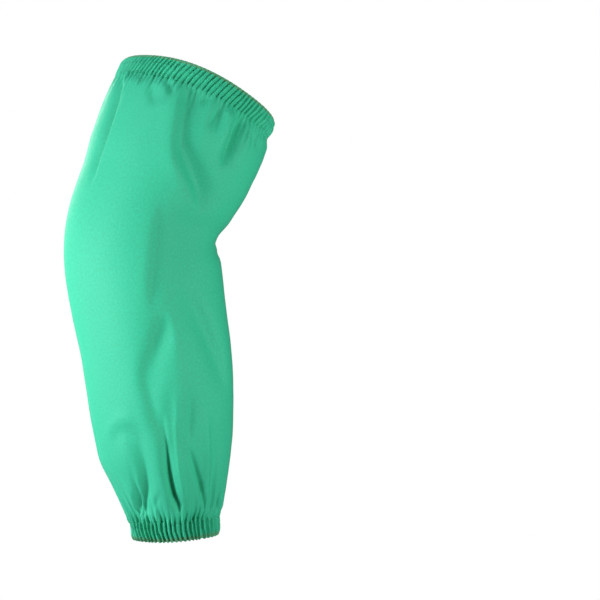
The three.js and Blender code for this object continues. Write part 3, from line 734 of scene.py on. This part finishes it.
def make_cuff(name, columns, height, wall, cut_width, along_from, height_at, scallop, rim_ease, flip):
    """A casing gathered on its elastic. Its rim is scalloped by the gathers, and they are eased there.

    flip turns the profile round where the sleeve runs towards the rim, so that the faces look outward.
    """
    profile = casing_profile(height, wall)
    profile = np.vstack([profile, profile[:1]])
    piece = cut_cloth(name, columns, len(profile) - 1)
    flat = corners_of(piece)
    turn = (flat[:, 0] + 0.5) % 1
    row = np.rint((flat[:, 1] + 0.5) * (len(profile) - 1)).astype(int)
    if flip:
        row = len(profile) - 1 - row
    from_rim, depth, pleat = profile[row].T
    along = along_from(from_rim)
    lift = height_at(along, turn)
    near_rim = np.exp(-((from_rim / RIM_REACH) ** 2))
    from_rim = from_rim + near_rim * scallop * (1 - np.clip(lift / 1.6, -1, 1)) / 2
    pleat = pleat * (1 - rim_ease * near_rim)
    shape_to(piece, places(along_from(from_rim), turn, depth + pleat * lift))
    size_uv_map(piece, cut_width, 2 * height + wall)
    sew_edges(piece)
    return piece


def from_arm_rim(distance):
    """A distance from the upper rim, as a distance down the centreline."""
    return distance


def from_wrist_rim(distance):
    """A distance from the wrist's rim, as a distance down the centreline."""
    return SLEEVE_LENGTH - distance


def make_cuffs():
    """The casing at each end of the body."""
    arm = make_cuff(
        "arm_cuff_casing",
        columns=ARM_GATHERS * ARM_COLUMNS_PER_GATHER,
        height=ARM_CUFF_HEIGHT,
        wall=ARM_CASING_WALL,
        cut_width=ARM_CASING_CUT,
        along_from=from_arm_rim,
        height_at=arm_cuff_height,
        scallop=0.1,
        rim_ease=0.92,
        flip=False,
    )
    wrist = make_cuff(
        "wrist_cuff_casing",
        columns=WRIST_GATHERS * WRIST_COLUMNS_PER_GATHER,
        height=WRIST_CUFF_HEIGHT,
        wall=WRIST_CASING_WALL,
        cut_width=WRIST_CASING_CUT,
        along_from=from_wrist_rim,
        height_at=wrist_cuff_height,
        scallop=0.7,
        rim_ease=0.45,
        flip=True,
    )
    return arm, wrist


def one_stitch(length, thickness):
    """A stitch lies along X, bowed up in its middle and sunk at both ends."""
    deselect_all()
    bpy.ops.mesh.primitive_cylinder_add(
        vertices=6, radius=thickness / 2, depth=length, end_fill_type="TRIFAN"
    )
    stitch = bpy.context.object
    bpy.ops.object.mode_set(mode="EDIT")
    for share in (-0.3, 0, 0.3):
        bpy.ops.mesh.select_all(action="SELECT")
        bpy.ops.mesh.bisect(plane_co=(0, 0, share * length), plane_no=(0, 0, 1))
    bpy.ops.object.mode_set(mode="OBJECT")
    upright = corners_of(stitch)
    share = upright[:, 2] / (length / 2)
    taper = 1 - 0.45 * share**4
    bow = 0.5 * thickness * (1 - 2.2 * share**2)
    lying = np.stack([upright[:, 2], upright[:, 1] * taper, upright[:, 0] * taper + bow], axis=-1)
    faces = [tuple(face.vertices) for face in stitch.data.polygons]
    bpy.data.objects.remove(stitch)
    return lying, faces


def sew_row(name, length, thickness, along, turn, height_at, run_down):
    """One mesh of all the stitches at the places given, each lying on the cloth along the row."""
    stitch, faces = one_stitch(length, thickness)
    step = 0.6
    down = step if run_down else 0
    round_it = 0 if run_down else step / GIRTH

    def on_cloth(along, turn, above=0):
        return places(along, turn, height_at(along, turn % 1) + above)

    centre = on_cloth(along, turn)
    raised = on_cloth(along, turn, 1)
    forward = on_cloth(along + down, turn + round_it) - on_cloth(along - down, turn - round_it)
    forward /= np.linalg.norm(forward, axis=1, keepdims=True)
    up = raised - centre
    up -= forward * np.sum(up * forward, axis=1, keepdims=True)
    up /= np.linalg.norm(up, axis=1, keepdims=True)
    beside = np.cross(up, forward)
    axes = np.stack([forward, beside, up], axis=1)
    points = METRES * (stitch @ axes) + centre[:, None]
    count = len(stitch)
    all_faces = [
        tuple(n * count + corner for corner in face)
        for n in range(len(centre))
        for face in faces
    ]
    mesh = bpy.data.meshes.new(name)
    mesh.from_pydata(points.reshape(-1, 3).tolist(), [], all_faces)
    row = bpy.data.objects.new(name, mesh)
    bpy.context.collection.objects.link(row)
    deselect_all()
    row.select_set(True)
    bpy.context.view_layer.objects.active = row
    bpy.ops.object.mode_set(mode="EDIT")
    bpy.ops.mesh.select_all(action="SELECT")
    bpy.ops.mesh.normals_make_consistent(inside=False)
    bpy.ops.object.mode_set(mode="OBJECT")
    bpy.ops.object.shade_smooth()
    return row


def crests_of(phase_at, along, gathers):
    """The turn of each gather's crest, at a distance down the sleeve."""
    turn = np.linspace(0, 1, 20001)[:-1]
    phase = phase_at(np.full_like(turn, along), turn)
    crest = np.floor(phase[0]) + 0.5 + np.arange(gathers + 1)
    found = np.interp(crest, phase, turn, left=np.nan, right=np.nan)
    return found[~np.isnan(found)]


def make_stitches():
    """One stitch over each gather in the cuffs' rows, and two rows down the seam."""
    rows = []
    arm = (arm_phase, arm_cuff_height, ARM_GATHERS)
    wrist = (wrist_phase, wrist_cuff_height, WRIST_GATHERS)
    for name, (phase_at, height_at, gathers), row_along in [
        ("arm_cuff_middle_stitches", arm, ARM_CUFF_HEIGHT / 2),
        ("arm_cuff_edge_stitches", arm, ARM_CUFF_HEIGHT - EDGE_ROW_INSET),
        ("wrist_cuff_middle_stitches", wrist, SLEEVE_LENGTH - WRIST_MIDDLE_ROW),
        ("wrist_cuff_edge_stitches", wrist, WRIST_STITCHES + EDGE_ROW_INSET),
    ]:
        turn = crests_of(phase_at, row_along, gathers)
        along = np.full_like(turn, row_along)
        rows.append(sew_row(name, CUFF_STITCH_LENGTH, THREAD_THICKNESS, along, turn, height_at, False))
    for name, offset in zip(("seam_stitches_front", "seam_stitches_back"), SEAM_STITCH_OFFSETS):
        along = np.arange(ARM_CUFF_HEIGHT + 3, WRIST_STITCHES - 2, SEAM_STITCH_SPACING)
        turn = np.full_like(along, SEAM_TURN + offset / GIRTH)
        rows.append(sew_row(name, SEAM_STITCH_LENGTH, THREAD_THICKNESS, along, turn, body_height, True))
    return rows


def new_group(name, inputs, outputs):
    """An empty shader node group with named inputs and outputs."""
    group = bpy.data.node_groups.new(name, "ShaderNodeTree")
    for label, kind, default in inputs:
        socket = group.interface.new_socket(label, in_out="INPUT", socket_type=kind)
        socket.default_value = default
    for label, kind in outputs:
        group.interface.new_socket(label, in_out="OUTPUT", socket_type=kind)
    return group


def maths(tree, operation, *values):
    """A math node on sockets or numbers, and its result."""
    node = tree.nodes.new("ShaderNodeMath")
    node.operation = operation
    for socket, value in zip(node.inputs, values):
        if isinstance(value, (int, float)):
            socket.default_value = value
        else:
            tree.links.new(value, socket)
    return node.outputs[0]


def twill_group():
    """A twill weave: threads both ways, each passing over two and under one."""
    group = new_group(
        "twill weave",
        [("Vector", "NodeSocketVector", (0, 0, 0)), ("Thread", "NodeSocketFloat", 0.0005)],
        [("Height", "NodeSocketFloat"), ("Wale", "NodeSocketFloat")],
    )
    inlet = group.nodes.new("NodeGroupInput")
    outlet = group.nodes.new("NodeGroupOutput")
    apart = group.nodes.new("ShaderNodeSeparateXYZ")
    group.links.new(inlet.outputs["Vector"], apart.inputs[0])
    across = maths(group, "DIVIDE", apart.outputs[0], inlet.outputs["Thread"])
    down = maths(group, "DIVIDE", apart.outputs[1], inlet.outputs["Thread"])
    warp = maths(group, "ABSOLUTE", maths(group, "SINE", maths(group, "MULTIPLY", across, math.pi)))
    weft = maths(group, "ABSOLUTE", maths(group, "SINE", maths(group, "MULTIPLY", down, math.pi)))
    step = maths(group, "ADD", maths(group, "FLOOR", across), maths(group, "FLOOR", down))
    place = maths(group, "FLOORED_MODULO", step, 3.0)
    warp_on_top = maths(group, "LESS_THAN", place, 1.5)
    over = maths(group, "MULTIPLY", warp, warp_on_top)
    under = maths(group, "MULTIPLY", weft, maths(group, "SUBTRACT", 1.0, warp_on_top))
    height = maths(group, "ADD", over, maths(group, "MULTIPLY", under, 0.7))
    group.links.new(height, outlet.inputs["Height"])
    group.links.new(warp_on_top, outlet.inputs["Wale"])
    return group


def dye_group():
    """How the dye took: slow clouds over the cloth, and slubs along both threads, about 1."""
    group = new_group(
        "uneven dye",
        [
            ("Vector", "NodeSocketVector", (0, 0, 0)),
            ("Clouds", "NodeSocketFloat", 0.06),
            ("Slubs", "NodeSocketFloat", 0.08),
        ],
        [("Shade", "NodeSocketFloat")],
    )
    inlet = group.nodes.new("NodeGroupInput")
    outlet = group.nodes.new("NodeGroupOutput")

    def noise(scale, stretch, detail):
        mapping = group.nodes.new("ShaderNodeMapping")
        mapping.inputs["Scale"].default_value = stretch
        group.links.new(inlet.outputs["Vector"], mapping.inputs["Vector"])
        texture = group.nodes.new("ShaderNodeTexNoise")
        texture.inputs["Scale"].default_value = scale
        texture.inputs["Detail"].default_value = detail
        group.links.new(mapping.outputs[0], texture.inputs["Vector"])
        return maths(group, "SUBTRACT", texture.outputs["Fac"], 0.5)

    clouds = maths(group, "MULTIPLY", noise(14, (1, 1, 1), 3), inlet.outputs["Clouds"])
    warp_slubs = noise(820, (1, 0.5, 1), 3)
    weft_slubs = noise(820, (0.5, 1, 1), 3)
    slubs = maths(group, "MULTIPLY", maths(group, "ADD", warp_slubs, weft_slubs), inlet.outputs["Slubs"])
    shade = maths(group, "ADD", maths(group, "ADD", clouds, slubs), 1.0)
    group.links.new(shade, outlet.inputs["Shade"])
    return group


def rim_shade_line_group():
    """A band across the cloth's length, 1 along its middle and fading to 0 on both sides: the mask of the
    painted rim shade.
    """
    group = new_group(
        "painted rim shade line",
        [
            ("Vector", "NodeSocketVector", (0, 0, 0)),
            ("Place", "NodeSocketFloat", 0),
            ("Width", "NodeSocketFloat", 0.001),
        ],
        [("Mask", "NodeSocketFloat")],
    )
    inlet = group.nodes.new("NodeGroupInput")
    outlet = group.nodes.new("NodeGroupOutput")
    apart = group.nodes.new("ShaderNodeSeparateXYZ")
    group.links.new(inlet.outputs["Vector"], apart.inputs[0])
    off = maths(group, "SUBTRACT", apart.outputs[1], inlet.outputs["Place"])
    share = maths(group, "DIVIDE", off, inlet.outputs["Width"])
    mask = maths(group, "POWER", 0.37, maths(group, "MULTIPLY", share, share))
    group.links.new(mask, outlet.inputs["Mask"])
    return group


def place_group(tree, group, vector, **values):
    """A node of the group in a material, with its own values."""
    node = tree.nodes.new("ShaderNodeGroup")
    node.node_tree = group
    tree.links.new(vector, node.inputs["Vector"])
    for label, value in values.items():
        node.inputs[label].default_value = value
    return node


def cloth_material(name, twill, dye):
    """Matt cotton in one colour, which the dye and the weave make uneven; the weave's gaps carry painted
    shade.
    """
    material = bpy.data.materials.new(name)
    material.use_nodes = True
    tree = material.node_tree
    shader = tree.nodes["Principled BSDF"]
    shader.inputs["Roughness"].default_value = 0.68
    shader.inputs["Specular IOR Level"].default_value = 0.4
    shader.inputs["Sheen Weight"].default_value = 0.24
    shader.inputs["Sheen Roughness"].default_value = 0.22
    uv = tree.nodes.new("ShaderNodeUVMap").outputs[0]
    weave = place_group(tree, twill, uv, Thread=YARN_WIDTH)
    dyed = place_group(tree, dye, uv, Clouds=0.08, Slubs=0.34)
    # the weave darkens the colour where its threads dip: the twill's pattern, and painted shade in the gaps
    # between threads
    weave_pattern_and_gap_shade = maths(tree, "MULTIPLY_ADD", weave.outputs["Height"], 0.14, 0.90)
    shade = maths(tree, "MULTIPLY", dyed.outputs["Shade"], weave_pattern_and_gap_shade)
    mix = tree.nodes.new("ShaderNodeMix")
    mix.data_type = "RGBA"
    mix.blend_type = "MULTIPLY"
    mix.inputs["Factor"].default_value = 1
    mix.inputs["A"].default_value = (*COTTON_GREEN, 1)
    tree.links.new(shade, mix.inputs["B"])
    tree.links.new(mix.outputs["Result"], shader.inputs["Base Color"])
    bump = tree.nodes.new("ShaderNodeBump")
    bump.inputs["Strength"].default_value = 0.5
    bump.inputs["Distance"].default_value = WEAVE_DEPTH
    tree.links.new(weave.outputs["Height"], bump.inputs["Height"])
    tree.links.new(bump.outputs[0], shader.inputs["Normal"])
    return material


def paint_rim_shade(material, rim_shade_line, place, width, strength):
    """The cloth along a cuff's rim is painted a dull olive shade, which stands in for the shade where the
    casing rounds over away from the light.
    """
    tree = material.node_tree
    colour = tree.nodes["Principled BSDF"].inputs["Base Color"]
    colour_before_rim_shade = colour.links[0].from_socket
    uv = tree.nodes.new("ShaderNodeUVMap").outputs[0]
    line = place_group(tree, rim_shade_line, uv, Place=METRES * place, Width=METRES * width)
    mix = tree.nodes.new("ShaderNodeMix")
    mix.data_type = "RGBA"
    mix.inputs["B"].default_value = RIM_SHADE_OLIVE
    tree.links.new(maths(tree, "MULTIPLY", line.outputs["Mask"], strength), mix.inputs["Factor"])
    tree.links.new(colour_before_rim_shade, mix.inputs["A"])
    tree.links.new(mix.outputs["Result"], colour)


def thread_material():
    """Twisted cotton thread."""
    material = bpy.data.materials.new("sewing_thread")
    material.use_nodes = True
    tree = material.node_tree
    shader = tree.nodes["Principled BSDF"]
    shader.inputs["Roughness"].default_value = 0.7
    coordinates = tree.nodes.new("ShaderNodeTexCoord")
    twist = tree.nodes.new("ShaderNodeTexNoise")
    twist.inputs["Scale"].default_value = 1800
    tree.links.new(coordinates.outputs["Object"], twist.inputs["Vector"])
    ramp = tree.nodes.new("ShaderNodeValToRGB")
    ramp.color_ramp.elements[0].color = THREAD_DARK
    ramp.color_ramp.elements[1].color = THREAD_PALE
    tree.links.new(twist.outputs["Fac"], ramp.inputs["Fac"])
    tree.links.new(ramp.outputs["Color"], shader.inputs["Base Color"])
    return material


def finish_piece(piece, material):
    """A piece gets its material, and rides on the part's one body."""
    piece.data.materials.clear()
    piece.data.materials.append(material)
    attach(piece, "root")


def make_sleeve():
    """All of the sleeve's pieces, with their materials, in the place of the plain solids."""
    body = make_body()
    arm_cuff, wrist_cuff = make_cuffs()
    stitches = make_stitches()
    twill, dye = twill_group(), dye_group()
    cotton = cloth_material("green_cotton", twill, dye)
    arm_cotton = cloth_material("arm_cuff_cotton", twill, dye)
    wrist_cotton = cloth_material("wrist_cuff_cotton", twill, dye)
    rim_shade_line = rim_shade_line_group()
    # painted shade along each cuff's rim
    paint_rim_shade(arm_cotton, rim_shade_line, *ARM_RIM_SHADE)
    paint_rim_shade(wrist_cotton, rim_shade_line, *WRIST_RIM_SHADE)
    thread = thread_material()
    finish_piece(body, cotton)
    finish_piece(arm_cuff, arm_cotton)
    finish_piece(wrist_cuff, wrist_cotton)
    for row in stitches:
        finish_piece(row, thread)
    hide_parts("sleeve_body")
    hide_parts("arm_cuff")
    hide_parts("wrist_cuff")


def mix_to_camera(tree, lighting, seen, output):
    """The lights meet one surface, and the camera sees the other."""
    path = tree.nodes.new("ShaderNodeLightPath")
    mix = tree.nodes.new("ShaderNodeMixShader")
    tree.links.new(path.outputs["Is Camera Ray"], mix.inputs["Fac"])
    tree.links.new(lighting, mix.inputs[1])
    tree.links.new(seen, mix.inputs[2])
    tree.links.new(mix.outputs[0], output.inputs["Surface"])


def make_floor():
    """A pale floor far below, which the camera sees as white."""
    bpy.ops.mesh.primitive_plane_add(size=METRES * FLOOR_SIZE, location=(0, 0, METRES * FLOOR_HEIGHT))
    floor = bpy.context.object
    floor.name = "floor"
    material = bpy.data.materials.new("pale_floor")
    material.use_nodes = True
    tree = material.node_tree
    shader = tree.nodes["Principled BSDF"]
    shader.inputs["Base Color"].default_value = (0.8, 0.8, 0.8, 1)
    shader.inputs["Roughness"].default_value = 0.9
    glow = tree.nodes.new("ShaderNodeEmission")
    mix_to_camera(tree, shader.outputs[0], glow.outputs[0], tree.nodes["Material Output"])
    floor.data.materials.append(material)


def add_light(name, place, size, power, colour):
    """A soft square light that faces the sleeve's middle."""
    light = bpy.data.lights.new(name, "AREA")
    light.size = size
    light.energy = power
    light.color = colour
    lamp = bpy.data.objects.new(name, light)
    lamp.location = place
    middle = Vector((METRES * LIT_ACROSS, 0, METRES * CAMERA_HEIGHT))
    lamp.rotation_euler = (middle - Vector(place)).to_track_quat("-Z", "Y").to_euler()
    bpy.context.collection.objects.link(lamp)


def light_studio():
    """A white studio: a weak even glow on the sleeve, and the lights."""
    world = bpy.data.worlds.new("studio")
    world.use_nodes = True
    tree = world.node_tree
    soft_light = tree.nodes["Background"]
    soft_light.inputs["Color"].default_value = (1, 1, 1, 1)
    soft_light.inputs["Strength"].default_value = STUDIO_GLOW
    white_wall = tree.nodes.new("ShaderNodeBackground")
    white_wall.inputs["Color"].default_value = (1, 1, 1, 1)
    mix_to_camera(tree, soft_light.outputs[0], white_wall.outputs[0], tree.nodes["World Output"])
    bpy.context.scene.world = world
    bpy.context.scene.view_settings.view_transform = "Standard"
    for name, place, size, power, colour in LIGHTS:
        add_light(name, place, size, power, colour)


def set_camera():
    """The camera looks straight along Y, from the photo's place."""
    lens = bpy.data.cameras.new("camera")
    lens.angle = 2 * math.atan(PICTURE / 2 / CAMERA_DISTANCE)
    camera = bpy.data.objects.new("camera", lens)
    camera.location = (METRES * CAMERA_ACROSS, -METRES * CAMERA_DISTANCE, METRES * CAMERA_HEIGHT)
    camera.rotation_euler = (math.pi / 2, 0, 0)
    bpy.context.collection.objects.link(camera)
    bpy.context.scene.camera = camera


set_camera()
make_sleeve()
make_floor()
light_studio()
